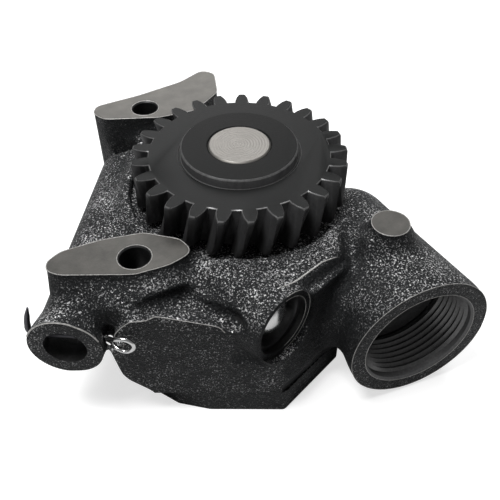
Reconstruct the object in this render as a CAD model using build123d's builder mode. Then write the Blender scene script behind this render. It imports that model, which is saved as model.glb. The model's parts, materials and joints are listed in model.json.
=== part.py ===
from build123d import *
from math import acos, cos, pi, radians, sin, sqrt, tan
import os

# Gear type engine oil pump. Millimetres, +Z up along the drive shaft.
# The origin is where the shaft axis meets the plane of the machined mounting pads,
# and the two mounting holes stand in line along Y.

# ---- clearances ----
runGap = 0.04         # turning parts, radial
slideGap = 0.03       # piston in its bore, radial
seatGap = 0.05        # loose parts that bear on each other
pressGap = 0.01       # pressed and pinned parts, radial
endGap = 0.05         # turning parts, at each end
boltGap = 0.4         # bolt in its hole, radial
capGap = 0.1          # spring cap in the piston bore, radial

# ---- heights ----
padTop = 0.0          # machined mounting pads
coverJoint = -42.0    # joint of housing and cover
coverThick = 9.4
bushFloor = 1.5       # cover left under the lower bush
chamberTall = 16.0    # chamber of the pumping rotors
recessFloor = -8.0    # floor under the drive gear
rimTop = -4.2         # cast rim beside the drive gear
armBottom = -28.0     # underside of the mounting arms
chamberRoof = coverJoint + chamberTall
base = coverJoint - coverThick

# ---- drive gear ----
gearTeeth = 25
gearModule = 2.5
gearHelix = 15.0
gearWide = 14.0
gearTop = 8.0
gearChamfer = 0.6
hubRadius = 18.8
hubRise = 2.6
hubGroove = 0.8
shaftRadius = 10.0
shaftProud = 0.15
pressureAngle = 20.0
dedendum = 1.25       # root below the pitch circle, in modules
tipRoom = 0.25        # tip to the root of the mate, in modules
gearBacklash = 0.1
recessGap = 1.6       # drive gear to the rim, radial

# ---- pumping rotors ----
rotorTeeth = 12
rotorModule = 2.5
rotorShift = 0.3
rotorBacklash = 0.14
rotorTipGap = 0.08
idlerTurn = -97.0     # direction from the drive shaft to the idler, degrees
axleRadius = 7.0
axleHold = 5.0        # length of axle in the housing and in the cover
bushWall = 2.0

# ---- shaft fittings ----
keyWide = 4.0
keyTall = 4.0
keyLong = 12.0
keySunk = 2.4
clipThick = 1.2
clipOuter = 11.8
clipGroove = 0.8
clipSlit = 4.0
clipRoom = 0.5
boreBevel = 0.5
washerSlit = 1.2
washerOuter = 17.0

# ---- mounting arms ----
holeX = -32.5
nearHoleY = -37.7
farHoleY = 41.0
mountHoleRadius = 4.5

# ---- suction tube ----
inletX, inletY, inletZ = 51.0, -53.0, -27.0
inletTurn = 16.6      # degrees from -Y towards +X
inletOuter = 23.1
inletMinor = 16.9     # wall of an M36 x 2 thread
inletThread = 20.0
inletBore = 15.0
inletStep = 32.0      # depth where the bore narrows to the port
inletPort = 11.0
inletLong = 50.0
inletLip = 3.0        # straight rim of the mouth
inletRear = 17.0      # the tube narrows to this at its elbow

# ---- pressure outlet ----
outletX, outletZ = 8.0, -22.0
outletFace = 50.0
outletOuter = 14.0
outletMinor = 10.2    # wall of an M22 x 1.5 thread
outletThread = 14.0
portRadius = 7.0

# ---- relief valve ----
valveX, valveY, valveZ = -53.5, -54.6, -18.0
valveTurn = -9.6
valveFace = 11.0
valveWaist = 9.6
valveLip = 2.0        # straight rim of the mouth
valveFlare = 9.0      # the barrel is at its waist this far in
valveLong = 82.0
pistonRadius = 6.3
pistonLong = 18.0
pistonWall = 1.6
seatDepth = 66.0      # valve seat, from the mouth
seatRadius = 4.6
pinDepth = 5.0        # cotter pin, from the mouth
pinRadius = 1.2
pistonHead = 6.0
capThick = 2.0
capSpigot = 3.0
springMean = 3.8
springWire = 0.7
springCoils = 9
springSides = 6       # the wire is a plain hexagon
springSeat = 0.3      # coil ends to the faces they press on
legLong = 11.0
legIn = 1.0           # tip of the bent leg, in from the rim of the mouth
legOut = 1.4          # bend of the leg, out from the rim
legBend = 1.6
neckRadius = 1.0
eyeRadius = 2.7
eyeWire = 0.8
neckReach = 13.4
eyeX, eyeUp, eyeOut = 17.0, 1.6, 3.9
neckRoom = 2.6

# ---- gallery plug ----
plugX, plugY, plugZ = 9.6, -55.0, -14.6
plugTurn = 42.6
plugBore = 8.0
plugSink = 3.2        # depth of the counterbore
plugSinkRadius = 9.8
plugDeep = 17.8       # depth of the ball's bore
galleryRadius = 4.0
plugLip = 11.6
plugBack = 1.0        # boss set back from the rim of the counterbore
plugBossLong = 23.2
plugClear = 8.0       # the counterbore is cut from this far out
galleryLong = 76.0

# ---- cover screws and dowels ----
screwRadius = 3.0
screwLong = 14.0      # under the head
screwTip = 1.0        # hole left beyond the tip
headTall = 4.0
headRadius = 4.4
socketAcross = 3.6
socketDeep = 2.2
washerThick = 1.6
sinkRadius = 4.8
dowelRadius = 3.0
dowelHold = 5.0       # length of dowel in the housing and in the cover

os.makedirs("parts", exist_ok=True)


# ---- gear outlines ----
def involute(angle):
    return tan(angle) - angle


def gearFlank(teeth, pitch, halfTooth, baseRadius, radius):
    """Half angle of a tooth at a radius."""
    swing = involute(acos(min(1.0, baseRadius / radius)))
    return halfTooth / pitch + involute(radians(pressureAngle)) - swing


def gearOutline(teeth, pitch, thick, root, tip, phase, flank=ThreePointArc):
    """Closed line of a spur gear, with radial flanks below the base circle."""
    baseRadius = pitch * cos(radians(pressureAngle))
    foot = max(root, baseRadius)
    low = gearFlank(teeth, pitch, thick / 2, baseRadius, foot)
    middle = gearFlank(teeth, pitch, thick / 2, baseRadius, (foot + tip) / 2)
    high = gearFlank(teeth, pitch, thick / 2, baseRadius, tip)
    step = 2 * pi / teeth

    def at(radius, angle):
        return (radius * cos(angle), radius * sin(angle))

    for index in range(teeth):
        centre = phase + index * step
        Line(at(root, centre - low), at(foot, centre - low))
        flank(at(foot, centre - low), at((foot + tip) / 2, centre - middle), at(tip, centre - high))
        Line(at(tip, centre - high), at(tip, centre + high))
        flank(at(tip, centre + high), at((foot + tip) / 2, centre + middle), at(foot, centre + low))
        Line(at(foot, centre + low), at(root, centre + low))
        Line(at(root, centre + low), at(root, centre + step - low))


def solveWorking(target):
    """Angle whose involute is the target."""
    angle = radians(pressureAngle)
    for _ in range(30):
        angle -= (involute(angle) - target) / tan(angle) ** 2
    return angle


# ---- sizes that follow from the gears ----
gearPitch = gearTeeth * gearModule / cos(radians(gearHelix)) / 2
gearTip = gearPitch + gearModule
gearRoot = gearPitch - dedendum * gearModule
gearThick = pi * gearModule / cos(radians(gearHelix)) / 2 - gearBacklash
gearTwist = gearWide * tan(radians(gearHelix)) / gearPitch
gearPhase = radians(85.0)
gearBottom = gearTop - gearWide
recessRadius = gearTip + recessGap

rotorPitch = rotorTeeth * rotorModule / 2
rotorAngle = radians(pressureAngle)
workingAngle = solveWorking(4 * tan(rotorAngle) * rotorShift / (2 * rotorTeeth) + involute(rotorAngle))
idlerReach = 2 * rotorPitch * cos(rotorAngle) / cos(workingAngle)
rotorRoot = rotorPitch - rotorModule * (dedendum - rotorShift)
rotorTip = idlerReach - rotorRoot - tipRoom * rotorModule
rotorThick = rotorModule * (pi / 2 + 2 * rotorShift * tan(rotorAngle)) - rotorBacklash / 2
chamberRadius = rotorTip + rotorTipGap
idlerX = idlerReach * cos(radians(idlerTurn))
idlerY = idlerReach * sin(radians(idlerTurn))
meshX, meshY = idlerX / 2, idlerY / 2
rotorBottom = coverJoint + endGap
rotorTall = chamberTall - 2 * endGap
shaftTop = gearTop + hubRise + shaftProud
shaftBottom = base + bushFloor + 2 * endGap
keyBottom = rotorBottom + (rotorTall - keyLong) / 2
clipTop = rotorBottom - endGap
clipPocket = clipThick + 2 * endGap
bushLowerTop = coverJoint - clipPocket
bushLowerLong = coverThick - clipPocket - bushFloor
bushOuter = shaftRadius + runGap + bushWall


# ---- planes of the slanted bosses, each with Z out of its mouth ----
def mouth(x, y, z, turn):
    side = (cos(radians(turn)), sin(radians(turn)), 0)
    out = (sin(radians(turn)), -cos(radians(turn)), 0)
    return Plane(origin=(x, y, z), x_dir=side, z_dir=out)


inletPlane = mouth(inletX, inletY, inletZ, inletTurn)
valvePlane = mouth(valveX, valveY, valveZ, valveTurn)
plugPlane = mouth(plugX, plugY, plugZ, plugTurn)
outletPlane = Plane(origin=(outletX, outletFace, outletZ), x_dir=(-1, 0, 0), z_dir=(0, 1, 0))

# ---- cast housing ----
bodyPlan = [(9.2, -57.8), (29.8, -38.8), (34, -5), (24, 22), (6, 37), (-22, 38), (-42, 25),
            (-42, -22), (-24, -30), (-24, -44), (-31, -46.5), (-31, -54), (-9, -56)]
humpPlan = [(-16, -28), (-13, -50), (2, -57), (11, -59), (31.5, -39.5), (34, -15), (0, -22)]
crestPlan = [(-15, -30), (-14, -42), (-3, -50), (7.5, -52.5), (28.5, -36), (30.5, -16), (0, -24)]
skirtPlan = [(-57.6, -43), (-57.4, -37.5), (-54, -33), (-42.5, -29), (-30.5, -27), (-18, -29), (-13, -36),
             (-16.2, -48.2), (-29, -54), (-53, -47)]
nearPad = [(-57.4, -41.2), (-57.2, -37.5), (-53.9, -33.8), (-42.5, -29.7), (-30.5, -27.6),
           (-19.6, -31.2), (-15.6, -36.8), (-22.4, -41.3), (-32, -44.5), (-53, -43.2)]
farPad = [(-51.2, 38.6), (-50.7, 43.4), (-35.1, 50), (-19.4, 58.7), (-11, 67), (-6.2, 64),
          (-5.5, 50), (-14, 38), (-27.3, 34.3), (-47, 34.6)]
coverPlan = [(9.6, -58.35), (29.8, -38.8), (28, -12), (26.8, -4), (20, 21), (2, 29), (-25, 25),
             (-24.5, -43), (-31, -44), (-31, -48), (-24, -53.2), (-14, -56.3)]
planCorner = 2.0
padCorner = 3.0
humpTop = -4.0
humpLow = -36.0
humpBevel = 1.4
frontTurn = -4.6
frontX, frontY = -9.5, -56.9
frontThick = 9.0
earX, earZ = -15.5, -21.4
earRadius = 16.0
lobeX, lobeZ = -23.0, -30.4
lobeRadius = 7.0
frontRight = 17.0
frontRightTop = -13.5
flangeCorner = 3.0
skirtTop = -1.5
skirtFoot = -7.5
skirtLow = -14.0
rimOuter = 38.2
rimSweep = 200.0      # the rim runs round the left and front
rimStart = 130.0
rimBevel = 0.6
hoodOuter = 46.0
hoodTop = -11.0
hoodWaist = -20.0
hoodLow = -34.0
hoodFoot = 30.0
bossX, bossY = 43.6, -29.4
bossRadius = 5.6
bossFoot = 12.5       # the boss spreads to this at its foot
bossTall = 12.0
linkY = 19.5
sideX = -30.0
sideRadius = 6.0
portZ = chamberRoof - chamberTall / 2
outletInner = 24.0
pinGap = 0.2
screwSpots = [(14.5, -45), (-20, -46.8), (16.5, 13.5), (-18, 18)]
dowelSpots = [(23.5, -30), (-2, 23.5)]
screwDeep = screwLong + washerThick + headTall - coverThick + screwTip
frontPlane = mouth(frontX, frontY, 0, frontTurn)
pinPlane = Plane(origin=valvePlane.origin - valvePlane.z_dir * pinDepth, x_dir=(0, 0, 1),
                 z_dir=valvePlane.x_dir)
pinLegPlane = Plane(origin=pinPlane.origin, x_dir=valvePlane.x_dir, z_dir=valvePlane.z_dir)
eyePlane = Plane(origin=pinLegPlane.from_local_coords((eyeX, eyeUp, eyeOut)), z_dir=valvePlane.z_dir)
capDepth = pinDepth + pinRadius + seatGap
springFoot = valvePlane.origin - valvePlane.z_dir * (seatDepth - pistonHead - springWire - springSeat)
springPitch = (seatDepth - pistonHead - capDepth - capThick - 2 * (springWire + springSeat)) / springCoils
ballDepth = -plugDeep + sqrt(plugBore ** 2 - galleryRadius ** 2)
valveEnd = valvePlane.origin - valvePlane.z_dir * (linkY - valveY) / cos(radians(valveTurn))
valveReach = (linkY - valveY) / cos(radians(valveTurn)) + seatRadius / 2
inletEnd = inletPlane.origin - inletPlane.z_dir * inletLong


def plan(points, corner):
    """Closed outline with rounded corners, inside a BuildSketch."""
    with BuildLine() as line:
        FilletPolyline(*points, radius=corner, close=True)
    make_face(line.edges())


# smooth front flange with its ear, cut off at the joint
with BuildPart() as flange:
    with BuildSketch(frontPlane):
        with Locations((earX, earZ)):
            Circle(earRadius)
        with Locations((lobeX, lobeZ)):
            Circle(lobeRadius)
        with Locations((frontRight - flangeCorner, frontRightTop - flangeCorner),
                       (frontRight - flangeCorner, coverJoint), (lobeX + lobeRadius, coverJoint)):
            Circle(flangeCorner)
        make_hull()
    extrude(amount=-frontThick)
    split(bisect_by=Plane.XY.offset(coverJoint), keep=Keep.TOP)

# near arm, flared below its pad towards the flange and the relief valve
with BuildPart() as nearArm:
    with BuildSketch(Plane.XY):
        plan(nearPad, padCorner)
    extrude(amount=skirtTop)
    for height, outline in ((skirtTop, nearPad), (skirtFoot, skirtPlan)):
        with BuildSketch(Plane.XY.offset(height)):
            plan(outline, padCorner)
    loft(ruled=True)
    with BuildSketch(Plane.XY.offset(skirtFoot)):
        plan(skirtPlan, padCorner)
    extrude(amount=skirtLow - skirtFoot)

# rounded hump between the drive gear and the gallery plug
with BuildPart() as hump:
    for height, outline in ((humpLow, humpPlan), (humpTop, crestPlan)):
        with BuildSketch(Plane.XY.offset(height)):
            plan(outline, planCorner)
    loft(ruled=True)
    chamfer(hump.faces().sort_by(Axis.Z)[-1].edges(), humpBevel)

with BuildPart() as housing:
    # lower body round the pumping chamber
    with BuildSketch(Plane.XY.offset(coverJoint)):
        plan(bodyPlan, planCorner)
    extrude(amount=recessFloor - coverJoint)
    add([hump.part, flange.part, nearArm.part])
    # hood and rim round the drive gear
    with BuildSketch(mouth(0, 0, 0, rimStart)):
        with BuildLine():
            Polyline((0, rimTop), (rimOuter, rimTop), (rimOuter + rimBevel, rimTop - rimBevel),
                     (hoodOuter, hoodTop), (hoodOuter, hoodWaist), (hoodFoot, hoodLow), (0, hoodLow),
                     close=True)
        make_face()
    revolve(axis=Axis.Z, revolution_arc=rimSweep, mode=Mode.ADD)
    # mounting arms
    with BuildSketch(Plane.XY):
        plan(farPad, padCorner)
    extrude(amount=armBottom)
    # relief valve barrel with its flared mouth
    with BuildSketch(Plane(origin=valvePlane.origin, x_dir=valvePlane.x_dir, z_dir=(0, 0, 1))):
        with BuildLine():
            Polyline((0, 0), (valveFace, 0), (valveFace, valveLip), (valveWaist, valveFlare),
                     (valveWaist, valveLong), (0, valveLong), close=True)
        make_face()
    revolve(axis=Axis(valvePlane.origin, valvePlane.z_dir))
    # suction tube, tapered towards its round elbow
    with BuildSketch(Plane(origin=inletPlane.origin, x_dir=inletPlane.x_dir, z_dir=(0, 0, 1))):
        with BuildLine():
            Polyline((0, inletLong + inletRear), (0, 0), (inletOuter, 0), (inletOuter, inletLip),
                     (inletRear, inletLong))
            CenterArc((0, inletLong), inletRear, 0, 90)
        make_face()
    revolve(axis=Axis(inletPlane.origin, inletPlane.z_dir))
    # round boss of the return gallery, behind the ball plug
    with BuildSketch(plugPlane.offset(-plugBack)):
        Circle(plugLip)
    extrude(amount=-plugBossLong)
    # pressure outlet
    with BuildSketch(outletPlane):
        Circle(outletOuter)
    extrude(amount=outletInner - outletFace)
    # small machined boss on the suction tube
    with Locations((bossX, bossY, padTop)):
        Cone(bossFoot, bossRadius, bossTall, align=(Align.CENTER, Align.CENTER, Align.MAX))

    # recess of the drive gear
    with BuildSketch(Plane.XY.offset(recessFloor)):
        Circle(recessRadius)
    extrude(amount=gearTop - recessFloor + hubRise, mode=Mode.SUBTRACT)
    # chamber of the two rotors
    with BuildSketch(Plane.XY.offset(coverJoint)):
        Circle(chamberRadius)
        with Locations((idlerX, idlerY)):
            Circle(chamberRadius)
    extrude(amount=chamberTall, mode=Mode.SUBTRACT)
    # seat of the upper bush and hole of the idler axle
    with BuildSketch(Plane.XY.offset(recessFloor)):
        Circle(bushOuter + pressGap)
    extrude(amount=chamberRoof - recessFloor, mode=Mode.SUBTRACT)
    with BuildSketch(Plane((idlerX, idlerY, chamberRoof))):
        Circle(axleRadius + pressGap)
    extrude(amount=axleHold, mode=Mode.SUBTRACT)
    # mounting holes
    with BuildSketch(Plane.XY):
        with Locations((holeX, nearHoleY), (holeX, farHoleY)):
            Circle(mountHoleRadius)
    extrude(amount=coverJoint, mode=Mode.SUBTRACT)
    # suction: thread wall, bore and port into the chamber
    with BuildSketch(inletPlane):
        Circle(inletMinor)
    extrude(amount=-inletThread, mode=Mode.SUBTRACT)
    with BuildSketch(inletPlane):
        Circle(inletBore)
    extrude(amount=-inletStep, mode=Mode.SUBTRACT)
    with BuildSketch(inletPlane):
        Circle(inletPort)
    extrude(amount=-inletLong, mode=Mode.SUBTRACT)
    with BuildSketch(Plane(origin=(meshX, meshY, portZ), x_dir=(0, 1, 0), z_dir=(1, 0, 0))):
        Circle(portRadius)
    extrude(amount=inletEnd.X - meshX, mode=Mode.SUBTRACT)
    # pressure: port, gallery along the left side, link and threaded outlet
    with BuildSketch(Plane(origin=(meshX, meshY, portZ), x_dir=(0, -1, 0), z_dir=(-1, 0, 0))):
        Circle(portRadius)
    extrude(amount=meshX - sideX, mode=Mode.SUBTRACT)
    with BuildSketch(Plane(origin=(sideX, meshY, portZ), x_dir=(-1, 0, 0), z_dir=(0, 1, 0))):
        Circle(sideRadius)
    extrude(amount=linkY - meshY, mode=Mode.SUBTRACT)
    with BuildSketch(Plane((sideX, linkY, portZ))):
        Circle(sideRadius)
    extrude(amount=valveZ - portZ, mode=Mode.SUBTRACT)
    with BuildSketch(Plane(origin=(valveEnd.X, linkY, valveZ), x_dir=(0, 1, 0), z_dir=(1, 0, 0))):
        Circle(seatRadius)
    extrude(amount=outletX - valveEnd.X, mode=Mode.SUBTRACT)
    with BuildSketch(outletPlane):
        Circle(portRadius)
    extrude(amount=linkY - outletFace, mode=Mode.SUBTRACT)
    with BuildSketch(outletPlane):
        Circle(outletMinor)
    extrude(amount=-outletThread, mode=Mode.SUBTRACT)
    # relief valve bore, seat and cross hole
    with BuildSketch(valvePlane):
        Circle(pistonRadius + slideGap)
    extrude(amount=-seatDepth, mode=Mode.SUBTRACT)
    with BuildSketch(valvePlane):
        Circle(seatRadius)
    extrude(amount=-valveReach, mode=Mode.SUBTRACT)
    with BuildSketch(pinPlane):
        Circle(pinRadius + pinGap)
    extrude(amount=valveFace, both=True, mode=Mode.SUBTRACT)
    # room for the neck of the cotter pin beside the flange
    with BuildSketch(valvePlane.offset(-flangeCorner - pinDepth)):
        with Locations((neckReach + pinRadius / 2, 0)):
            Circle(neckRoom)
    extrude(amount=frontThick + pinDepth, mode=Mode.SUBTRACT)
    # return gallery and the bore of its ball plug
    with BuildSketch(plugPlane.offset(plugClear)):
        Circle(plugSinkRadius)
    extrude(amount=-plugSink - plugClear, mode=Mode.SUBTRACT)
    with BuildSketch(plugPlane):
        Circle(plugBore)
    extrude(amount=-plugDeep, mode=Mode.SUBTRACT)
    with BuildSketch(plugPlane):
        Circle(galleryRadius)
    extrude(amount=-galleryLong, mode=Mode.SUBTRACT)
    # holes of the cover screws and dowels
    with BuildSketch(Plane.XY.offset(coverJoint)):
        with Locations(*screwSpots):
            Circle(screwRadius + pressGap)
    extrude(amount=screwDeep, mode=Mode.SUBTRACT)
    with BuildSketch(Plane.XY.offset(coverJoint)):
        with Locations(*dowelSpots):
            Circle(dowelRadius + pressGap)
    extrude(amount=dowelHold + seatGap, mode=Mode.SUBTRACT)
housing.part.label = "pump_housing"

# ---- bottom cover ----
with BuildPart() as cover:
    with BuildSketch(Plane.XY.offset(base)):
        plan(coverPlan, planCorner)
    extrude(amount=coverThick)
    # lower bush with the circlip's pocket over it, and hole of the idler axle
    with BuildSketch(Plane.XY.offset(coverJoint)):
        Circle(clipOuter + clipRoom)
    extrude(amount=-clipPocket, mode=Mode.SUBTRACT)
    with BuildSketch(Plane.XY.offset(bushLowerTop)):
        Circle(bushOuter + pressGap)
    extrude(amount=-bushLowerLong, mode=Mode.SUBTRACT)
    with BuildSketch(Plane((idlerX, idlerY, coverJoint))):
        Circle(axleRadius + pressGap)
    extrude(amount=-axleHold, mode=Mode.SUBTRACT)
    # sunk screw holes and dowel holes
    with BuildSketch(Plane.XY.offset(base)):
        with Locations(*screwSpots):
            Circle(sinkRadius)
    extrude(amount=headTall + washerThick, mode=Mode.SUBTRACT)
    with BuildSketch(Plane.XY.offset(base)):
        with Locations(*screwSpots):
            Circle(screwRadius + boltGap)
    extrude(amount=coverThick, mode=Mode.SUBTRACT)
    with BuildSketch(Plane.XY.offset(coverJoint)):
        with Locations(*dowelSpots):
            Circle(dowelRadius + pressGap)
    extrude(amount=-dowelHold - seatGap, mode=Mode.SUBTRACT)
cover.part.label = "bottom_cover"

# ---- cover screws, spring washers and dowels ----
with BuildPart() as screws:
    with BuildSketch(Plane.XY.offset(base)):
        with Locations(*screwSpots):
            Circle(headRadius)
    extrude(amount=headTall)
    with BuildSketch(Plane.XY.offset(base + headTall)):
        with Locations(*screwSpots):
            Circle(screwRadius)
    extrude(amount=screwLong)
    with BuildSketch(Plane.XY.offset(base)):
        with Locations(*screwSpots):
            RegularPolygon(socketAcross / 2, 6, major_radius=False)
    extrude(amount=socketDeep, mode=Mode.SUBTRACT)
screws.part.label = "cover_screws"

with BuildPart() as washers:
    with BuildSketch(Plane.XY.offset(base + headTall)):
        with Locations(*screwSpots):
            Circle(headRadius)
            Circle(screwRadius + pressGap, mode=Mode.SUBTRACT)
            with Locations((headRadius, 0)):
                Rectangle(headRadius, washerSlit, mode=Mode.SUBTRACT)
    extrude(amount=washerThick)
washers.part.label = "spring_washers"

with BuildPart() as dowels:
    with BuildSketch(Plane.XY.offset(coverJoint - dowelHold)):
        with Locations(*dowelSpots):
            Circle(dowelRadius)
    extrude(amount=2 * dowelHold)
dowels.part.label = "cover_dowels"

# ---- drive gear ----
with BuildPart() as gear:
    for level, phase in ((gearBottom, gearPhase - gearTwist), (gearTop, gearPhase)):
        with BuildSketch(Plane.XY.offset(level)):
            with BuildLine() as teeth:
                gearOutline(gearTeeth, gearPitch, gearThick, gearRoot, gearTip, phase, Polyline)
            make_face(teeth.edges())
    loft(ruled=True)
    # bevelled tooth ends
    with BuildSketch(Plane.XZ):
        with BuildLine():
            Polyline((0, gearBottom), (gearTip - gearChamfer, gearBottom),
                     (gearTip, gearBottom + gearChamfer), (gearTip, gearTop - gearChamfer),
                     (gearTip - gearChamfer, gearTop), (0, gearTop), close=True)
        make_face()
    revolve(axis=Axis.Z, mode=Mode.INTERSECT)
    # raised hub disc in a shallow groove
    with BuildSketch(Plane.XY.offset(gearTop)):
        Circle(hubRadius + hubGroove)
    extrude(amount=-hubGroove, mode=Mode.SUBTRACT)
    with BuildSketch(Plane.XY.offset(gearTop - hubGroove)):
        Circle(hubRadius)
    extrude(amount=hubRise + hubGroove)
    with BuildSketch(Plane.XY.offset(gearBottom)):
        Circle(shaftRadius + pressGap)
    extrude(amount=gearWide + hubRise, mode=Mode.SUBTRACT)
    chamfer(gear.faces().sort_by(Axis.Z)[-1].edges(), boreBevel)
gear.part.label = "drive_gear"

# ---- drive shaft ----
with BuildPart() as shaft:
    with BuildSketch(Plane.XY.offset(shaftBottom)):
        Circle(shaftRadius)
    extrude(amount=shaftTop - shaftBottom)
    chamfer(shaft.edges().filter_by(GeomType.CIRCLE), boreBevel)
    with BuildSketch(Plane.XY.offset(clipTop)):
        Circle(clipOuter)
        Circle(shaftRadius - clipGroove, mode=Mode.SUBTRACT)
    extrude(amount=-clipThick, mode=Mode.SUBTRACT)
    with BuildSketch(Plane.XY.offset(keyBottom)):
        with Locations((shaftRadius - keySunk + keyTall / 2, 0)):
            Rectangle(keyTall, keyWide)
    extrude(amount=keyLong, mode=Mode.SUBTRACT)
shaft.part.label = "drive_shaft"

# ---- driving rotor and its fittings ----
with BuildPart() as driver:
    with BuildSketch(Plane.XY.offset(rotorBottom)):
        with BuildLine() as teeth:
            gearOutline(rotorTeeth, rotorPitch, rotorThick, rotorRoot, rotorTip, radians(idlerTurn))
        make_face(teeth.edges())
        Circle(shaftRadius + pressGap, mode=Mode.SUBTRACT)
    extrude(amount=rotorTall)
    with BuildSketch(Plane.XY.offset(rotorBottom)):
        with Locations((shaftRadius - keySunk + keyTall / 2, 0)):
            Rectangle(keyTall + 2 * pressGap, keyWide + 2 * pressGap)
    extrude(amount=rotorTall, mode=Mode.SUBTRACT)
driver.part.label = "driving_rotor"

with BuildPart() as key:
    with BuildSketch(Plane.XY.offset(keyBottom + pressGap)):
        with Locations((shaftRadius - keySunk + keyTall / 2 + pressGap / 2, 0)):
            Rectangle(keyTall - pressGap, keyWide - pressGap)
    extrude(amount=keyLong - 2 * pressGap)
key.part.label = "rotor_key"

with BuildPart() as clip:
    with BuildSketch(Plane.XY.offset(clipTop - pressGap)):
        Circle(clipOuter)
        Circle(shaftRadius - clipGroove + pressGap, mode=Mode.SUBTRACT)
        with Locations((-clipOuter, 0)):
            Rectangle(clipOuter, clipSlit, mode=Mode.SUBTRACT)
    extrude(amount=-clipThick + 2 * pressGap)
clip.part.label = "rotor_circlip"

# ---- bushes and thrust washer ----
with BuildPart() as upperBush:
    with BuildSketch(Plane.XY.offset(recessFloor)):
        Circle(bushOuter)
        Circle(shaftRadius + runGap, mode=Mode.SUBTRACT)
    extrude(amount=chamberRoof - recessFloor)
upperBush.part.label = "upper_shaft_bush"

with BuildPart() as lowerBush:
    with BuildSketch(Plane.XY.offset(bushLowerTop)):
        Circle(bushOuter)
        Circle(shaftRadius + runGap, mode=Mode.SUBTRACT)
    extrude(amount=-bushLowerLong)
lowerBush.part.label = "lower_shaft_bush"

with BuildPart() as thrust:
    with BuildSketch(Plane.XY.offset(recessFloor)):
        Circle(washerOuter)
        Circle(shaftRadius + runGap, mode=Mode.SUBTRACT)
    extrude(amount=gearBottom - recessFloor - endGap)
thrust.part.label = "thrust_washer"

# ---- idler ----
with BuildPart() as axle:
    with BuildSketch(Plane((idlerX, idlerY, coverJoint - axleHold))):
        Circle(axleRadius)
    extrude(amount=chamberTall + 2 * axleHold)
axle.part.label = "idler_axle"

with BuildPart() as driven:
    with BuildSketch(Plane((idlerX, idlerY, rotorBottom))):
        with BuildLine() as teeth:
            gearOutline(rotorTeeth, rotorPitch, rotorThick, rotorRoot, rotorTip,
                        radians(idlerTurn) + pi + pi / rotorTeeth)
        make_face(teeth.edges())
        Circle(axleRadius + runGap + bushWall + pressGap, mode=Mode.SUBTRACT)
    extrude(amount=rotorTall)
driven.part.label = "driven_rotor"

with BuildPart() as idlerBush:
    with BuildSketch(Plane((idlerX, idlerY, rotorBottom))):
        Circle(axleRadius + runGap + bushWall)
        Circle(axleRadius + runGap, mode=Mode.SUBTRACT)
    extrude(amount=rotorTall)
idlerBush.part.label = "driven_rotor_bush"

# ---- relief valve ----
with BuildPart() as piston:
    with BuildSketch(valvePlane.offset(-seatDepth)):
        Circle(pistonRadius)
    extrude(amount=pistonLong)
    with BuildSketch(valvePlane.offset(pistonHead - seatDepth)):
        Circle(pistonRadius - pistonWall)
    extrude(amount=pistonLong - pistonHead, mode=Mode.SUBTRACT)
piston.part.label = "relief_piston"

with BuildPart() as springCap:
    with BuildSketch(valvePlane.offset(-capDepth)):
        Circle(pistonRadius - capGap)
    extrude(amount=-capThick)
    with BuildSketch(valvePlane.offset(-capDepth - capThick)):
        Circle(springMean - springWire - springSeat)
    extrude(amount=-capSpigot)
springCap.part.label = "relief_spring_cap"

with BuildPart() as spring:
    with BuildLine():
        Helix(springPitch, springCoils * springPitch, springMean,
              center=tuple(springFoot), direction=tuple(valvePlane.z_dir))
    with BuildSketch(Plane(origin=spring.pending_edges[0] @ 0, z_dir=spring.pending_edges[0] % 0)):
        RegularPolygon(springWire, springSides)
    sweep()
spring.part.label = "relief_spring"

with BuildPart() as cotter:
    # bent leg and shank, then the neck turned forwards to the eye
    with BuildLine(pinLegPlane):
        FilletPolyline((legIn - valveFace, legLong), (-legOut - valveFace, 0), (neckReach, 0), radius=legBend)
    with BuildSketch(Plane(origin=cotter.pending_edges[0] @ 0, z_dir=cotter.pending_edges[0] % 0)):
        Circle(pinRadius)
    sweep()
    with BuildLine(pinLegPlane):
        Line((neckReach, 0, 0), (eyeX - eyeRadius, eyeUp, eyeOut))
    with BuildSketch(Plane(origin=cotter.pending_edges[0] @ 0, z_dir=cotter.pending_edges[0] % 0)):
        Circle(neckRadius)
    sweep()
    with Locations(Location(pinLegPlane.from_local_coords((neckReach, 0, 0)))):
        Sphere(pinRadius)
    with Locations(eyePlane.location):
        Torus(eyeRadius, eyeWire)
cotter.part.label = "relief_cotter_pin"

# ---- gallery plug ----
with BuildPart() as plug:
    with Locations(plugPlane.offset(ballDepth).location):
        Sphere(plugBore - pressGap)
plug.part.label = "gallery_plug"

for piece in (housing, cover, screws, washers, dowels, gear, shaft, driver, key, clip, upperBush, lowerBush,
              thrust, axle, driven, idlerBush, piston, springCap, spring, cotter, plug):
    export_step(piece.part, f"parts/{piece.part.label}.step")
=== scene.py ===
import json
import math
import bpy
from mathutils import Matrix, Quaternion, Vector


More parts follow.
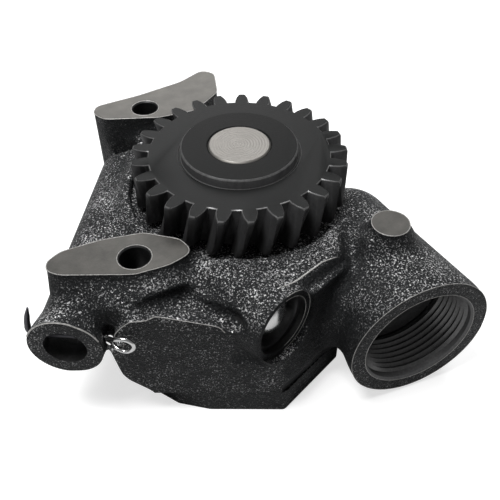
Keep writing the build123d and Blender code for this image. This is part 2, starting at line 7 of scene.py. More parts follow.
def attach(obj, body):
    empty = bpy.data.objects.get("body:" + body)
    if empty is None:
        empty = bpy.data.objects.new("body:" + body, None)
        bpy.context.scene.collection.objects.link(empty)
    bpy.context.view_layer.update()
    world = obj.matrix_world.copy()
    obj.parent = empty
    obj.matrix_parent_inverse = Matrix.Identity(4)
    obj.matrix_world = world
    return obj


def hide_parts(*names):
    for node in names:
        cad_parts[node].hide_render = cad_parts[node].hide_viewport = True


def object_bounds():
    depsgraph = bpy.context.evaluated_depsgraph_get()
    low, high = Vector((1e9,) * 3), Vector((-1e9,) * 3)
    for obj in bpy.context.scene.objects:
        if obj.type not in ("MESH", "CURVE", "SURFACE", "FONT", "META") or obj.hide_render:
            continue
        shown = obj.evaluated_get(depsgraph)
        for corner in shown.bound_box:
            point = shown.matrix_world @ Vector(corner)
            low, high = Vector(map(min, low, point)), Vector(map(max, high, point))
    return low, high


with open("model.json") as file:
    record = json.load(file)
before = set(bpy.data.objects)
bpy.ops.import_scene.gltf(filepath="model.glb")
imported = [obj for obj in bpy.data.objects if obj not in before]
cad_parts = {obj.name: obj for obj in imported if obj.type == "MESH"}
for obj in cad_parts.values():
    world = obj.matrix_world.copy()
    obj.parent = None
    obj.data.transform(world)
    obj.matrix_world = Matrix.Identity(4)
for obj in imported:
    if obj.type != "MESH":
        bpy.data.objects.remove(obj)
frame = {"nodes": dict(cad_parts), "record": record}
cadLow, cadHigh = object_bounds()
nodes = frame["nodes"]
mm = 0.001
up = Vector((0, 0, 1))
# points closer than this are welded
weld = 0.0005 * mm
# how square to a plane, and how near it, a face has to be to count as part of it
planeTest = {"square": 0.999, "near": 0.02 * mm}


def spot(*place):
    return Vector(place) * mm


def outward(turn):
    # level direction, turned from the front towards the right
    angle = math.radians(turn)
    return Vector((math.sin(angle), -math.cos(angle), 0))


def only(*things):
    bpy.ops.object.select_all(action="DESELECT")
    for thing in things:
        thing.select_set(True)
    bpy.context.view_layer.objects.active = things[-1]


def copied(node, name):
    made = bpy.data.objects.new(name, nodes[node].data.copy())
    bpy.context.scene.collection.objects.link(made)
    made.data.materials.clear()
    only(made)
    bpy.ops.object.mode_set(mode="EDIT")
    bpy.ops.mesh.select_all(action="SELECT")
    bpy.ops.mesh.remove_doubles(threshold=weld)
    bpy.ops.object.mode_set(mode="OBJECT")
    return made


def pick(thing, test):
    # leaves edit mode on, with the faces that pass the test selected
    only(thing)
    bpy.ops.object.mode_set(mode="EDIT")
    bpy.ops.mesh.select_mode(type="FACE")
    bpy.ops.mesh.select_all(action="DESELECT")
    bpy.ops.object.mode_set(mode="OBJECT")
    for polygon in thing.data.polygons:
        polygon.select = test(polygon)
    bpy.ops.object.mode_set(mode="EDIT")


def flush(place, normal):
    # test for faces that lie in a plane
    return lambda face: (face.normal.dot(normal) > planeTest["square"]
                         and abs((face.center - place).dot(normal)) < planeTest["near"])


def pull(thing, place, normal, reach, within=None):
    # moves the faces in a plane outwards
    level = flush(place, normal)
    pick(thing, lambda face: level(face) and (within is None or within(face.center)))
    bpy.ops.mesh.extrude_region_move(TRANSFORM_OT_translate={"value": normal * reach})
    bpy.ops.object.mode_set(mode="OBJECT")


def score(thing, place, normal):
    # edges where a plane crosses, so that pull can tell the faces on either side apart
    only(thing)
    bpy.ops.object.mode_set(mode="EDIT")
    bpy.ops.mesh.select_all(action="SELECT")
    bpy.ops.mesh.bisect(plane_co=place, plane_no=normal)
    bpy.ops.object.mode_set(mode="OBJECT")


def modify(thing, kind, **settings):
    only(thing)
    modifier = thing.modifiers.new(kind, kind)
    for key, value in settings.items():
        setattr(modifier, key, value)
    bpy.ops.object.modifier_apply(modifier=modifier.name)


def rod(place, axis, start, end, radius, farRadius=None, around=96):
    # round tool from start to end along an axis
    farRadius = radius if farRadius is None else farRadius
    bpy.ops.object.select_all(action="DESELECT")
    bpy.ops.mesh.primitive_cone_add(vertices=around, radius1=radius, radius2=farRadius, depth=end - start,
                                    location=place + axis * (start + end) / 2,
                                    rotation=axis.to_track_quat("Z", "Y").to_euler())
    bpy.ops.object.transform_apply()
    return bpy.context.object


def ball(place, radius):
    bpy.ops.object.select_all(action="DESELECT")
    bpy.ops.mesh.primitive_uv_sphere_add(segments=32, ring_count=16, radius=radius, location=place)
    bpy.ops.object.transform_apply()
    return bpy.context.object


def block(low, high, turn=0.0, place=Vector()):
    # box from one corner to the other, turned about the vertical through a place
    bpy.ops.object.select_all(action="DESELECT")
    bpy.ops.mesh.primitive_cube_add(size=1, location=(low + high) / 2, scale=high - low)
    bpy.ops.object.transform_apply()
    box = bpy.context.object
    box.rotation_euler.z = math.radians(turn)
    box.location = place
    bpy.ops.object.transform_apply()
    return box


def apart(point, start, end):
    # distance of a point from a line piece
    line = end - start
    share = (point - start).dot(line) / max(line.dot(line), 1e-12)
    return (point - start - line * min(1.0, max(0.0, share))).length


def prism(corners, height):
    # upright tool on a floor with the given corners
    bpy.ops.object.select_all(action="DESELECT")
    bpy.ops.mesh.primitive_circle_add(vertices=len(corners), fill_type="NGON")
    tool = bpy.context.object
    for vertex, corner in zip(tool.data.vertices, corners):
        vertex.co = spot(*corner)
    bpy.ops.object.mode_set(mode="EDIT")
    bpy.ops.mesh.select_all(action="SELECT")
    bpy.ops.mesh.quads_convert_to_tris()
    bpy.ops.mesh.extrude_region_move(TRANSFORM_OT_translate={"value": up * height})
    bpy.ops.mesh.select_all(action="SELECT")
    bpy.ops.mesh.normals_make_consistent(inside=False)
    bpy.ops.object.mode_set(mode="OBJECT")
    return tool


def weigh(thing, name):
    # vertex group that is least near the crevices and grows to 1 away from them
    thing.vertex_groups.clear()
    group = thing.vertex_groups.new(name=name)
    for vertex in thing.data.vertices:
        share = min((apart(vertex.co, start, end) - near) / (far - near)
                    for start, end, near, far in crevices)
        group.add([vertex.index], min(1.0, max(castHousing["least"], share)), "REPLACE")


def carve(thing, tool):
    modify(thing, "BOOLEAN", object=tool, operation="DIFFERENCE", solver="MANIFOLD")
    bpy.data.objects.remove(tool, do_unlink=True)


class Sock:
    # a socket that takes plain operators
    def __init__(self, tree, socket):
        self.tree = tree
        self.socket = socket

    def calc(self, operation, other, clamp=False):
        return self.tree.node("ShaderNodeMath", {"operation": operation, "use_clamp": clamp},
                              {0: self, 1: other})

    def __add__(self, other):
        return self.calc("ADD", other)

    __radd__ = __add__

    def __sub__(self, other):
        return self.calc("SUBTRACT", other)

    def __rsub__(self, other):
        return self.tree.node("ShaderNodeMath", {"operation": "SUBTRACT"}, {0: other, 1: self})

    def __mul__(self, other):
        return self.calc("MULTIPLY", other)

    def clamped(self):
        return self.calc("ADD", 0.0, clamp=True)

    def over(self, edge, soft):
        # 0 below the edge, 1 above it, with a soft step
        return ((self - edge) * (1 / soft) + 0.5).clamped()


class Finish:
    # one material and its nodes
    def __init__(self, name, metallic=0.0, roughness=0.5, gloss=0.5):
        self.material = bpy.data.materials.new(name)
        self.material.use_nodes = True
        self.nodes = self.material.node_tree.nodes
        self.shader = self.nodes["Principled BSDF"]
        self.put("Metallic", metallic)
        self.put("Roughness", roughness)
        self.put("Specular IOR Level", gloss)

    def node(self, kind, settings, values, output=0):
        made = self.nodes.new(kind)
        for key, value in settings.items():
            setattr(made, key, value)
        for key, value in values.items():
            self.fill(made.inputs[key], value)
        return Sock(self, made.outputs[output])

    def fill(self, target, value):
        if isinstance(value, Sock):
            self.material.node_tree.links.new(value.socket, target)
        elif isinstance(value, tuple) and target.type == "RGBA" and len(value) == 3:
            target.default_value = (*value, 1)
        else:
            target.default_value = value

    def put(self, key, value):
        self.fill(self.shader.inputs[key], value)

    def place(self):
        return self.node("ShaderNodeTexCoord", {}, {}, "Object")

    def facing(self, direction):
        # how far the surface looks along a direction, 1 is straight along it
        normal = self.node("ShaderNodeTexCoord", {}, {}, "Normal")
        return self.node("ShaderNodeVectorMath", {"operation": "DOT_PRODUCT"},
                         {0: normal, 1: direction}, "Value")

    def along(self, direction):
        # metres along a direction
        return self.node("ShaderNodeVectorMath", {"operation": "DOT_PRODUCT"},
                         {0: self.place(), 1: direction}, "Value")

    def noise(self, scale, detail=3.0, rough=0.55, distortion=0.0):
        return self.node("ShaderNodeTexNoise", {}, {"Vector": self.place(), "Scale": scale, "Detail": detail,
                                                    "Roughness": rough, "Distortion": distortion})

    def mix(self, factor, first, second):
        # two colours: inputs 6 and 7 of the node are its colours, output 2 the result
        return self.node("ShaderNodeMix", {"data_type": "RGBA"}, {0: factor, 6: first, 7: second}, 2)

    def blend(self, factor, first, second):
        # two numbers
        return first + (second - first) * factor

    def bump(self, height, distance):
        return self.node("ShaderNodeBump", {},
                         {"Height": height, "Distance": distance, "Strength": 1.0}, "Normal")


print("finishes")

# rough sand casting: dark iron with a rough grain, whose light specks are painted glints
casting = {"dark": (0.012, 0.013, 0.014), "light": (0.72, 0.72, 0.725), "metallic": 0.65,
           "grain": 1900, "lumps": 620, "clouds": 90, "depth": 0.9 * mm, "relief": 0.8,
           "litFrom": 0.72, "litSoft": 0.75, "litGain": 0.9, "litShift": 0.05,
           "speckFrom": 0.655, "speckSoft": 0.13, "cloudShift": 0.25,
           "rough": 0.46, "lumpRough": 0.12, "speckRough": 0.30}


def castFinish(name, depth=1.0, light=1.0, grain=1.0, walls=0.18):
    finish = Finish(name, metallic=casting["metallic"])
    coarse = finish.noise(casting["grain"] * grain, 2.0, 0.6, 0.5)
    lumps = finish.noise(casting["lumps"], 2.0, 0.5)
    clouds = finish.noise(casting["clouds"], 2.0, 0.5)
    # painted light: the specks are brighter on the tops and fainter on the walls
    litTop = finish.facing(up).over(casting["litFrom"], casting["litSoft"])
    edge = casting["speckFrom"] - litTop * casting["litShift"] - (clouds - 0.5) * casting["cloudShift"]
    speck = coarse.over(edge, casting["speckSoft"]) * (litTop * casting["litGain"] + walls).clamped()
    bright = tuple(channel * light for channel in casting["light"])
    finish.put("Base Color", finish.mix(speck, casting["dark"], bright))
    plain = casting["rough"] + lumps * casting["lumpRough"]
    finish.put("Roughness", finish.blend(speck, plain, casting["speckRough"]))
    height = coarse * casting["relief"] + lumps * casting["relief"]
    finish.put("Normal", finish.bump(height, casting["depth"] * depth))
    return finish.material


# milled pads, brown-grey with fine cutter marks
milling = {"colour": (0.044, 0.043, 0.040), "wornAndSheen": (0.118, 0.112, 0.103), "marks": 0.03 * mm,
           "clouds": 160, "grain": 1900, "slope": 4, "rough": 0.40, "grainRough": 0.12}


def milledFinish(name):
    finish = Finish(name, metallic=0.75)
    cloud = finish.noise(milling["clouds"], 4.0, 0.6)
    grain = finish.noise(milling["grain"], 2.0, 0.6)
    # wear varies at random, and a painted sheen grows towards the back
    wearAndSheen = (cloud.over(0.5, 0.5) * 0.5 + grain * 0.3 + finish.along((0, 1, 0)) * milling["slope"]).clamped()
    finish.put("Base Color", finish.mix(wearAndSheen, milling["colour"], milling["wornAndSheen"]))
    finish.put("Roughness", milling["rough"] + grain * milling["grainRough"])
    finish.put("Normal", finish.bump(grain * 0.7 + cloud * 0.3, milling["marks"]))
    return finish.material


def steelFinish(name, colour, roughness, metallic=1.0, grain=900, depth=0.02 * mm, spread=0.12, gloss=0.5):
    finish = Finish(name, metallic=metallic, gloss=gloss)
    cloud = finish.noise(grain, 3.0, 0.6)
    darker = tuple(channel * (1 - spread * 2) for channel in colour)
    finish.put("Base Color", finish.mix(cloud.over(0.5, 0.5), darker, colour))
    finish.put("Roughness", roughness + (cloud - 0.5) * spread)
    finish.put("Normal", finish.bump(cloud, depth))
    return finish.material


# pitch of the wave node for one ring, and the waver, depth and dark share of the rings
turning = {"wave": 3.3, "waver": 0.6, "depth": 0.05 * mm, "dark": 0.6}


def turnedFinish(name, colour, roughness, pitch):
    # fine rings round the Z axis
    finish = Finish(name, metallic=1.0)
    rings = finish.node("ShaderNodeTexWave", {"wave_type": "RINGS", "rings_direction": "Z"},
                        {"Vector": finish.place(), "Scale": 1 / pitch / turning["wave"],
                         "Distortion": turning["waver"], "Detail": 1.0, "Detail Scale": 1.0}, "Fac")
    cloud = finish.noise(500, 3.0, 0.6)
    darker = tuple(channel * turning["dark"] for channel in colour)
    finish.put("Base Color", finish.mix(cloud * 0.5 + rings * 0.5, darker, colour))
    finish.put("Roughness", roughness + rings * 0.10)
    finish.put("Normal", finish.bump(rings + cloud * 0.4, turning["depth"]))
    return finish.material


# grain of blacked and of bored surfaces
fine = {"grain": 1500, "depth": 0.03 * mm}
cut = {"grain": 1300, "depth": 0.03 * mm, "spread": 0.2}
finishes = {
    "cast_iron": castFinish("sandCasting"),
    "cast_cover": castFinish("coverCasting", depth=0.7, light=0.6, grain=1.1, walls=0.6),
    "faced": castFinish("facedCasting", depth=0.7, light=0.75, grain=1.1, walls=0.85),
    "mouth": castFinish("mouthCasting", depth=0.7, light=0.6, grain=1.05, walls=0.75),
    # darker copy of the casting, as painted shade
    "shadedCast": castFinish("shadedCasting", light=0.3, walls=0.05),
    "milled": milledFinish("milledIron"),
    # raised lines along edges, bright as a painted highlight
    "edge": steelFinish("highlightEdge", (0.60, 0.59, 0.57), 0.45, 0.3, spread=0.35, **fine),
    # bevels of the gear's tooth tips, lighter as a painted highlight
    "wornAndSheen": steelFinish("highlightTips", (0.16, 0.16, 0.16), 0.40, 0.5, spread=0.2, **fine),
    # upright faces of the gear, lighter than the blacked steel as painted light from the front
    "flank": steelFinish("litToothFlank", (0.040, 0.040, 0.041), 0.5, 0.3, spread=0.2, **fine),
    "hub": steelFinish("hubFace", (0.0040, 0.0042, 0.0042), 0.5, 0.2, spread=0.2, gloss=0.10, **fine),
    "thread": steelFinish("cutThread", (0.20, 0.20, 0.20), 0.35, 0.7, **cut),
    "suction": steelFinish("suctionBore", (0.15, 0.15, 0.152), 0.45, 0.3, **cut),
    "bored": steelFinish("boredIron", (0.055, 0.055, 0.056), 0.38, 0.8, **cut),
    "gear_steel": steelFinish("blackedSteel", (0.0070, 0.0074, 0.0074), 0.5, 0.2, spread=0.25, gloss=0.15,
                              **fine),
    "rotor_steel": steelFinish("groundSteel", (0.42, 0.42, 0.43), 0.30),
    "ground_steel": turnedFinish("turnedSteel", (0.24, 0.23, 0.215), 0.45, 0.9 * mm),
    "bright_steel": steelFinish("brightSteel", (0.80, 0.80, 0.80), 0.24, grain=600, depth=0.005 * mm,
                                spread=0.04),
    "spring_steel": steelFinish("oiledSteel", (0.36, 0.36, 0.38), 0.34),
    "black_screws": steelFinish("blackedScrews", (0.09, 0.09, 0.10), 0.42, 0.8),
    "bronze": steelFinish("bushBronze", (0.55, 0.36, 0.17), 0.33),
}
for entry in frame["record"]["subparts"]:
    mesh = nodes[entry["node"]].data
    mesh.materials.clear()
    mesh.materials.append(finishes[entry["material_slot"]])

print("cast housing")
castHousing = {"voxel": 0.75 * mm, "fillet": 2.8 * mm, "soften": 4, "spare": 3 * mm, "least": 0.1,
               "reach": 12 * mm, "span": 150 * mm, "taper": 0.8, "smooth": 38,
               "hole": 4.5 * mm, "flare": 5.1 * mm, "bevel": 0.5 * mm,
               "valleys": [(spot(-34, -54.5, -5), spot(-18, -48.2, -7), 3.8 * mm),
                           (spot(-18, -48.2, -7), spot(-5.5, -55.8, -10), 3.1 * mm)],
               "ledge": [(-29.5, -56, -5.0), (-29.5, -64, -6), (-2, -64, -13), (-2, -57, -12),
                         (-14, -49, -8.2), (-18, -47.8, -6.6)],
               "underside": [((-70, -80, -60), (30.5, -32, -42)), ((-70, -33, -60), (18, 80, -42))]}
# places where the fillets stay small: start, end, near and far distance
crevices = [(spot(-42, -56, -20), spot(-42, -56, -20), 6 * mm, 15 * mm),
            (spot(-30, -54, -8), spot(-4, -56, -14), 4 * mm, 11 * mm),
            (spot(10, -47, -6), spot(28, -35, -6), 3 * mm, 9 * mm)]
# openings, with the radius that their faces are trimmed to
inlet = {"mouth": spot(51, -53, -27), "out": outward(16.6), "trim": 34 * mm, "major": 17.9}
relief = {"mouth": spot(-53.5, -54.6, -18), "out": outward(-9.6), "trim": 12.65 * mm, "pinDepth": 5}
gallery = {"mouth": spot(9.6, -55, -14.6), "out": outward(42.6), "trim": 11.7 * mm}
outlet = {"mouth": spot(8, 50, -22), "out": outward(180), "trim": 24 * mm}
# cuts inwards from each mouth in mm: start, end, radius, radius at the end, facets
inlet["cuts"] = [(-1, 1.2, 19.6, 17.4, 128), (0, 17, inlet["major"], inlet["major"], 128),
                 (0, 32, 15, 15, 128), (20, 50, 11, 11, 96)]
relief["cuts"] = [(-1, 66, 6.33, 6.33, 96), (60, 78, 4.6, 4.6, 96)]
gallery["cuts"] = [(-8, 3.2, 9.8, 9.8, 96), (0, 17.8, 8, 8, 96), (10, 76, 4, 4, 96)]
outlet["cuts"] = [(-1, 14, 10.2, 10.2, 96), (10, 30.5, 7, 7, 96)]
# ring round the ball plug, 1 mm inside its mouth
gallery["face"] = gallery["mouth"] - gallery["out"] * mm
# front face, and its two parts as boxes cut off before it
front = {"place": spot(-9.5, -56.9, 0), "turn": -4.6, "out": outward(-4.6),
         "faces": [((-33, -10, -60), (3.2, 0, 10)), ((-3, -10, -60), (40, 0, -25.8))]}
front["side"] = up.cross(front["out"])
jointLevel = -42 * mm
# lines in mm that bound the pulled faces
scored = {"side": -1, "depth": -36, "level": -27}
rotorSpots = [Vector(), spot(-3.8158, -31.0772, 0)]
screwSpots = [spot(14.5, -45, 0), spot(-20, -46.8, 0), spot(16.5, 13.5, 0), spot(-18, 18, 0)]
dowelSpots = [spot(23.5, -30, 0), spot(-2, 23.5, 0)]
holeSpots = [spot(-32.5, -37.7, 0), spot(-32.5, 41, 0)]
# upright cuts in mm: places, lower end, upper end, radius, facets
uprights = [([Vector()], -8, 12, 36.45, 160),  # recess of the gear
            ([Vector()], -27, -7, 12.05, 96),  # seat of the upper bush
            (rotorSpots, -46, -26, 18.14, 128),  # rotor chamber
            (rotorSpots[1:], -30, -21, 7.01, 96),  # seat of the idler axle
            (screwSpots, -46, -30.8, 3.01, 48),
            (dowelSpots, -46, -36.95, 3.01, 48)]


def frontSpot(side, out, height):
    return front["place"] + front["side"] * side * mm + front["out"] * out * mm + up * height * mm


def bore(thing, opening):
    for start, end, radius, farRadius, around in opening["cuts"]:
        carve(thing, rod(opening["mouth"], -opening["out"], start * mm, end * mm,
                         radius * mm, farRadius * mm, around))


def makeHousing():
    housing = copied("pump_housing", "cast_housing")
    spare = castHousing["spare"]
    reach = castHousing["reach"]
    # machined faces are pulled out, and cut back once the casting is rounded
    score(housing, frontSpot(scored["side"], 0, 0), front["side"])
    score(housing, spot(0, scored["depth"], 0), outward(0))
    score(housing, spot(0, 0, scored["level"]), up)
    pull(housing, Vector(), up, spare)
    pull(housing, up * jointLevel, -up, spare, lambda place: place.y < scored["depth"] * mm)
    for opening in (inlet, relief, outlet):
        pull(housing, opening["mouth"], opening["out"], spare)
    pull(housing, gallery["face"], gallery["out"], spare)
    pull(housing, front["place"], front["out"], spare,
         lambda place: (place - front["place"]).dot(front["side"]) < scored["side"] * mm
         or place.z < scored["level"] * mm)
    # swelling and shrinking fills the inner corners with fillets
    modify(housing, "REMESH", mode="VOXEL", voxel_size=castHousing["voxel"])
    for growth in (castHousing["fillet"], -castHousing["fillet"]):
        weigh(housing, "fillets")
        modify(housing, "DISPLACE", strength=growth, mid_level=0, vertex_group="fillets")
        modify(housing, "REMESH", mode="VOXEL", voxel_size=castHousing["voxel"])
    # ledge behind the top of the front face, and the valleys beside it
    carve(housing, prism(castHousing["ledge"], reach))
    for start, end, radius in castHousing["valleys"]:
        line = end - start
        thin = radius * castHousing["taper"]
        carve(housing, rod(start, line.normalized(), 0, line.length, thin, radius))
        carve(housing, ball(start, thin))
        carve(housing, ball(end, radius))
    modify(housing, "REMESH", mode="VOXEL", voxel_size=castHousing["voxel"])
    modify(housing, "SMOOTH", factor=0.5, iterations=castHousing["soften"])
    # crisp faces
    carve(housing, rod(Vector(), up, 0, reach, castHousing["span"]))
    for low, high in castHousing["underside"]:
        carve(housing, block(spot(*low), spot(*high)))
    for opening in (inlet, relief, outlet):
        carve(housing, rod(opening["mouth"], opening["out"], 0, reach, opening["trim"]))
    carve(housing, rod(gallery["face"], gallery["out"], 0, reach / 2, gallery["trim"]))
    for low, high in front["faces"]:
        carve(housing, block(spot(*low), spot(*high), front["turn"], front["place"]))
    for places, low, high, radius, around in uprights:
        for place in places:
            carve(housing, rod(place, up, low * mm, high * mm, radius * mm, around=around))
    # mounting holes with a bevel
    for place in holeSpots:
        carve(housing, rod(place, up, -50 * mm, 1 * mm, castHousing["hole"], around=64))
        carve(housing, rod(place, up, -castHousing["bevel"], 0.1 * mm, castHousing["hole"],
                           castHousing["flare"], around=64))
    # suction bore with room for its thread, relief bore with its seat and the hole of the pin
    bore(housing, inlet)
    bore(housing, relief)
    pinPlace = relief["mouth"] - relief["out"] * relief["pinDepth"] * mm
    carve(housing, rod(pinPlace, up.cross(relief["out"]), -14 * mm, 14 * mm, 1.4 * mm, around=32))
    # ball plug and pressure outlet
    bore(housing, gallery)
    bore(housing, outlet)
    return housing


def away(place, axis, point):
    # distance of a point from an axis
    rest = point - place
    return (rest - axis * rest.dot(axis)).length


def inner(place, axis, face):
    # faces that look towards an axis
    rest = face.center - place
    return face.normal.dot(rest - axis * rest.dot(axis)) <= 0


def dress(thing, finish, zones=()):
    # one finish all over, and others where their tests say
    thing.data.materials.clear()
    thing.data.materials.append(finish)
    for number, (other, test) in enumerate(zones, 1):
        thing.data.materials.append(other)
        for face in thing.data.polygons:
            if test(face):
                face.material_index = number


def edged(thing, test, within, radius):
    # raised line along the border of the faces that pass the test, where its middle lies within; its bright
    # finish is a painted highlight
    pick(thing, test)
    bpy.ops.mesh.region_to_loop()
    bpy.ops.object.mode_set(mode="OBJECT")
    points = thing.data.vertices
    kept = [edge.index for edge in thing.data.edges
            if edge.select and within((points[edge.vertices[0]].co + points[edge.vertices[1]].co) / 2)]
    pick(thing, lambda face: False)
    bpy.ops.mesh.select_mode(type="EDGE")
    bpy.ops.object.mode_set(mode="OBJECT")
    for index in kept:
        thing.data.edges[index].select = True
        for corner in thing.data.edges[index].vertices:
            points[corner].select = True
    bpy.ops.object.mode_set(mode="EDIT")
    bpy.ops.mesh.duplicate()
    bpy.ops.mesh.separate(type="SELECTED")
    bpy.ops.object.mode_set(mode="OBJECT")
    line = [other for other in bpy.context.selected_objects if other is not thing][0]
    only(line)
    line.data.materials.clear()
    bpy.ops.object.convert(target="CURVE")
    line.data.bevel_depth = radius
    line.data.bevel_resolution = 0
    line.data.use_fill_caps = True
    bpy.ops.object.convert(target="MESH")
    line.data.materials.clear()
    line.data.materials.append(finishes["edge"])
    return line


crest = [spot(8, -50, 0), spot(13.1, -46.7, 0), spot(21.3, -40, 0), spot(28.2, -36.4, 0)]
bossSpot = spot(43.6, -29.4, 0)
# limits of the finish zones: radii, depths and how square the faces are
zone = {"pads": 20 * mm, "boss": 5.8 * mm, "hole": 5.2 * mm, "suction": 19.7 * mm, "suctionBack": -15 * mm,
        "relief": 6.4 * mm, "reliefDepth": 80 * mm, "gallery": 9.9 * mm, "galleryBack": -30 * mm,
        "crest": 7 * mm, "crestFoot": -22 * mm, "frontTop": -25 * mm, "frontNear": 1 * mm,
        "steep": 0.85, "level": 0.99, "inside": 0.01 * mm}
edges = {"fine": 0.09 * mm, "thin": 0.14 * mm, "thick": 0.26 * mm}


def underCrest(face):
    # wall on the outer side of the crest, which gets painted shade
    level = Vector((face.center.x, face.center.y, 0))
    beyond = (level - crest[0]).cross(crest[-1] - crest[0]).z
    near = min(apart(level, start, end) for start, end in zip(crest, crest[1:]))
    return (beyond > 0 and near < zone["crest"] and face.center.z > zone["crestFoot"]
            and face.normal.z < zone["steep"])


def crestLine(thing):
    # raised burr laid on the crest, bright as a painted highlight
    shape = bpy.data.curves.new("crest", "CURVE")
    shape.dimensions = "3D"
    shape.bevel_depth = edges["thick"]
    shape.bevel_resolution = 1
    shape.use_fill_caps = True
    places = []
    for start, end in zip(crest, crest[1:]):
        for step in range(4):
            above = start.lerp(end, step / 4) + up * 5 * mm
            hit, place = thing.ray_cast(above, -up)[:2]
            if hit:
                places.append(place)
    path = shape.splines.new("POLY")
    path.points.add(len(places) - 1)
    for number, (point, place) in enumerate(zip(path.points, places)):
        point.co = (*place, 1)
        point.radius = 0.35 + 0.65 * math.sin(math.pi * number / (len(places) - 1))
    line = bpy.data.objects.new("crest", shape)
    bpy.context.scene.collection.objects.link(line)
    only(line)
    bpy.ops.object.convert(target="MESH")
    line.data.materials.append(finishes["edge"])
    return line


castPiece = makeHousing()
dress(castPiece, finishes["cast_iron"], [
    # painted shade on the wall under the crest and on the level cut faces outside the pads and boss
    (finishes["shadedCast"], lambda face: underCrest(face) or flush(Vector(), up)(face)),
    (finishes["milled"], lambda face: flush(Vector(), up)(face)
     and (face.center.x < zone["pads"] or away(bossSpot, up, face.center) < zone["boss"])),
    (finishes["mouth"], flush(inlet["mouth"], inlet["out"])),
    (finishes["faced"], flush(relief["mouth"], relief["out"])),
    (finishes["faced"], flush(outlet["mouth"], outlet["out"])),
    (finishes["faced"], flush(front["place"], front["out"])),
    (finishes["faced"], lambda face: face.normal.dot(front["out"]) > zone["steep"]
     and face.center.z < zone["frontTop"]
     and abs((face.center - front["place"]).dot(front["out"])) < zone["frontNear"]),
    (finishes["bored"], lambda face: any(away(place, up, face.center) < zone["hole"] for place in holeSpots)
     and face.normal.z < zone["level"]),
    (finishes["suction"], lambda face: away(inlet["mouth"], inlet["out"], face.center) < zone["suction"]
     and inner(inlet["mouth"], inlet["out"], face)
     and (face.center - inlet["mouth"]).dot(inlet["out"]) < -zone["inside"]
     and face.center.y < zone["suctionBack"]),
    (finishes["bored"], lambda face: away(relief["mouth"], relief["out"], face.center) < zone["relief"]
     and -zone["reliefDepth"] < (face.center - relief["mouth"]).dot(relief["out"]) < -zone["inside"]),
    (finishes["bored"], lambda face: away(gallery["mouth"], gallery["out"], face.center) < zone["gallery"]
     and (face.center - gallery["mouth"]).dot(gallery["out"]) < -1 * mm
     and face.center.y < zone["galleryBack"]),
])
# raised lines along edges, bright as painted highlights
lines = [
    # front face along its top
    edged(castPiece, flush(front["place"], front["out"]),
          lambda point: point.z > -19 * mm and point.x < -8 * mm, edges["thin"]),
    # relief mouth along its upper outer rim
    edged(castPiece, flush(relief["mouth"], relief["out"]),
          lambda point: point.z > relief["mouth"].z + 4 * mm
          and away(relief["mouth"], relief["out"], point) > 8 * mm, edges["thick"]),
    # pads and boss along all their borders
    edged(castPiece, flush(Vector(), up), lambda point: True, edges["thin"]),
    # suction mouth, up to the side of the part
    edged(castPiece, flush(inlet["mouth"], inlet["out"]), lambda point: point.x < 72.9 * mm, edges["fine"]),
    # arc to the right of the ball plug
    edged(castPiece, flush(gallery["face"], gallery["out"]),
          lambda point: point.x > gallery["mouth"].x, edges["fine"]),
    crestLine(castPiece),
]
thread = {"pitch": 2 * mm, "turns": 7, "ridge": 0.85 * mm, "start": 2, "steps": 96}


def makeThread():
    # ridge of the suction thread
    bpy.ops.object.select_all(action="DESELECT")
    bpy.ops.mesh.primitive_circle_add(vertices=4, radius=thread["ridge"],
                                      location=(inlet["major"] * mm, 0, 0),
                                      rotation=(math.radians(90), 0, 0))
    bpy.ops.object.transform_apply()
    ridge = bpy.context.object
    modify(ridge, "SCREW", angle=math.tau, screw_offset=thread["pitch"], iterations=thread["turns"],
           steps=thread["steps"], render_steps=thread["steps"], use_merge_vertices=True,
           merge_threshold=0.001 * mm)
    only(ridge)
    bpy.ops.object.mode_set(mode="EDIT")
    bpy.ops.mesh.select_all(action="SELECT")
    bpy.ops.mesh.fill_holes(sides=4)
    bpy.ops.mesh.select_all(action="SELECT")
    bpy.ops.mesh.normals_make_consistent(inside=False)
    bpy.ops.object.mode_set(mode="OBJECT")
    ridge.rotation_euler = (-inlet["out"]).to_track_quat("Z", "Y").to_euler()
    ridge.location = inlet["mouth"] - inlet["out"] * thread["start"] * mm
    bpy.ops.object.transform_apply()
    ridge.data.materials.append(finishes["thread"])
    return ridge


lines.append(makeThread())
only(*lines, castPiece)
bpy.ops.object.join()
only(castPiece)
bpy.ops.object.shade_smooth_by_angle(angle=math.radians(castHousing["smooth"]))
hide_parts("pump_housing")
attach(castPiece, "housing")
print(len(castPiece.data.polygons), "faces in the housing")

print("drive gear")
# angles in degrees: up to flat faces are merged, from sharp on edges are bevelled, up to smooth shaded round
gearEdges = {"bevel": 0.26 * mm, "flat": 0.4, "sharp": 48, "smooth": 30}
# how level the faces of flanks and of tops are, and where the hub's top and the tips with a painted
# highlight begin
gearZones = {"flank": 0.35, "top": 0.95, "tips": 17 * mm, "hub": 10 * mm}

gearPiece = copied("drive_gear", "blacked_gear")
pick(gearPiece, lambda face: True)
bpy.ops.mesh.dissolve_limited(angle_limit=math.radians(gearEdges["flat"]))
bpy.ops.object.mode_set(mode="OBJECT")
modify(gearPiece, "BEVEL", width=gearEdges["bevel"], segments=1, limit_method="ANGLE",
       angle_limit=math.radians(gearEdges["sharp"]), use_clamp_overlap=False)
dress(gearPiece, finishes["gear_steel"], [
    # upright faces, lighter than the blacked steel as painted light from the front
    (finishes["flank"], lambda face: abs(face.normal.z) < gearZones["flank"]),
    # bevels at the tooth tips, lighter as a painted highlight
    (finishes["wornAndSheen"], lambda face: gearZones["flank"] < face.normal.z < gearZones["top"]
     and face.center.length > gearZones["tips"]),
    (finishes["hub"], lambda face: face.normal.z > gearZones["top"] and face.center.z > gearZones["hub"]),
])
only(gearPiece)
bpy.ops.object.shade_smooth_by_angle(angle=math.radians(gearEdges["smooth"]))
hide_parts("drive_gear")
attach(gearPiece, "drive_train")

print("cotter pin")
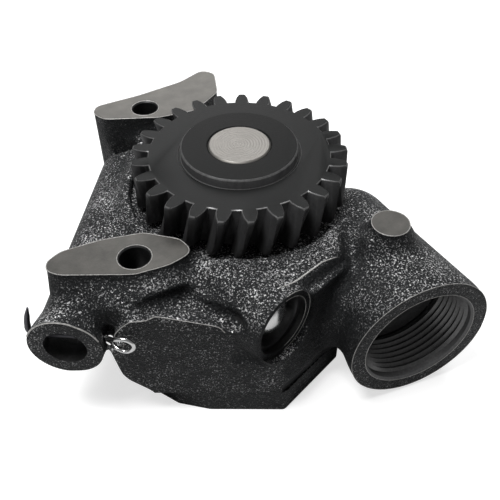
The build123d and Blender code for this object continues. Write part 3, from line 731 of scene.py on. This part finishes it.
# side, up and out of the relief mouth in mm, and the share of the wire radius
pinWire = {"wire": 0.62 * mm, "smooth": 40, "dark": 8 * mm,
           "eye": [(8, 0.5, 0, 1), (12.2, 0.9, 1.3, 1), (14.5, 3.2, 3.4, 1), (16.9, 4.3, 3.9, 1.05),
                   (19.0, 3.4, 3.9, 1.1), (19.8, 1.6, 3.9, 1.1), (19.0, -0.2, 3.9, 1.05),
                   (16.9, -1.1, 3.9, 1), (14.5, -0.4, 3.4, 1), (12.2, -0.2, 1.3, 1), (8, -0.5, 0, 1)],
           "shank": [(11, 0, 0, 1.5), (0, 0, 0, 1.8), (-10.4, 0, 0, 1.8), (-11.9, 0.9, 0, 1.6),
                     (-11.9, 3, 0, 1.5), (-11.1, 7, 0, 1.3), (-10.1, 10.6, 0, 0.5)]}


def makePin():
    shape = bpy.data.curves.new("cotter_pin", "CURVE")
    shape.dimensions = "3D"
    shape.bevel_depth = pinWire["wire"]
    shape.bevel_resolution = 3
    shape.use_fill_caps = True
    pinSide = up.cross(relief["out"])
    for part in ("eye", "shank"):
        path = shape.splines.new("BEZIER")
        path.bezier_points.add(len(pinWire[part]) - 1)
        for point, (side, height, out, share) in zip(path.bezier_points, pinWire[part]):
            beyond = relief["out"] * (out - relief["pinDepth"])
            point.co = relief["mouth"] + (pinSide * side + up * height + beyond) * mm
            point.handle_left_type = point.handle_right_type = "AUTO"
            point.radius = share
    pin = bpy.data.objects.new("cotter_pin", shape)
    bpy.context.scene.collection.objects.link(pin)
    only(pin)
    bpy.ops.object.convert(target="MESH")
    return pin


pinPiece = makePin()
dress(pinPiece, finishes["bright_steel"], [
    (finishes["black_screws"], lambda face: face.center.x < relief["mouth"].x + pinWire["dark"])])
only(pinPiece)
bpy.ops.object.shade_smooth_by_angle(angle=math.radians(pinWire["smooth"]))
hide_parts("relief_cotter_pin")
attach(pinPiece, "housing")

print("floor, light and camera")
room = {"floorSize": 6.0, "floor": (0.50, 0.50, 0.50), "paler": 1.01, "glow": 0.66, "world": 0.16}

bpy.ops.object.select_all(action="DESELECT")
bpy.ops.mesh.primitive_plane_add(size=room["floorSize"], location=(0, 0, cadLow.z))
floor = bpy.context.object
floor.name = "floor"
bpy.ops.object.transform_apply()
paper = Finish("floorPaper", roughness=0.9)
paler = tuple(channel * room["paler"] for channel in room["floor"])
paper.put("Base Color", paper.mix(paper.noise(3), room["floor"], paler))
paper.put("Emission Color", (1.0, 1.0, 1.0))
seen = paper.node("ShaderNodeLightPath", {}, {}, "Is Camera Ray")
paper.put("Emission Strength", seen * room["glow"])
floor.data.materials.append(paper.material)

world = bpy.data.worlds.new("softRoom")
bpy.context.scene.world = world
world.use_nodes = True
tree = world.node_tree
rays = tree.nodes.new("ShaderNodeLightPath")
ambient = tree.nodes["Background"]
ambient.inputs["Color"].default_value = (1, 1, 1, 1)
level = tree.nodes.new("ShaderNodeMapRange")
level.inputs["To Min"].default_value = room["world"]
level.inputs["To Max"].default_value = 1.0
tree.links.new(rays.outputs["Is Camera Ray"], level.inputs["Value"])
tree.links.new(level.outputs["Result"], ambient.inputs["Strength"])

lamps = [{"name": "keyLamp", "at": (-0.18, -0.10, 0.60), "size": 0.22, "power": 4.5},
         {"name": "sideLamp", "at": (0.22, 0.22, 0.55), "size": 0.25, "power": 1.6},
         {"name": "backLamp", "at": (-0.05, 0.55, 0.42), "size": 0.40, "power": 2.0}]
for lamp in lamps:
    light = bpy.data.lights.new(lamp["name"], "AREA")
    light.energy = lamp["power"]
    light.size = lamp["size"]
    holder = bpy.data.objects.new(lamp["name"], light)
    holder.location = lamp["at"]
    holder.rotation_euler = (-Vector(lamp["at"])).to_track_quat("-Z", "Y").to_euler()
    bpy.context.scene.collection.objects.link(holder)

cameraValues = {"at": (-8.60 * mm, -177.98 * mm, 135.12 * mm), "look": (0.0577, 0.7189, -0.6927),
                "roll": -0.104, "lens": 48.753, "shiftX": -0.0147}
camera = bpy.data.objects.new("camera", bpy.data.cameras.new("camera"))
bpy.context.scene.collection.objects.link(camera)
camera.data.lens = cameraValues["lens"]
camera.data.shift_x = cameraValues["shiftX"]
camera.data.clip_start = 0.01
camera.location = cameraValues["at"]
camera.rotation_mode = "QUATERNION"
camera.rotation_quaternion = (Vector(cameraValues["look"]).to_track_quat("-Z", "Y")
                              @ Quaternion((0, 0, 1), math.radians(cameraValues["roll"])))
bpy.context.scene.camera = camera
bpy.context.scene.view_settings.view_transform = "Standard"
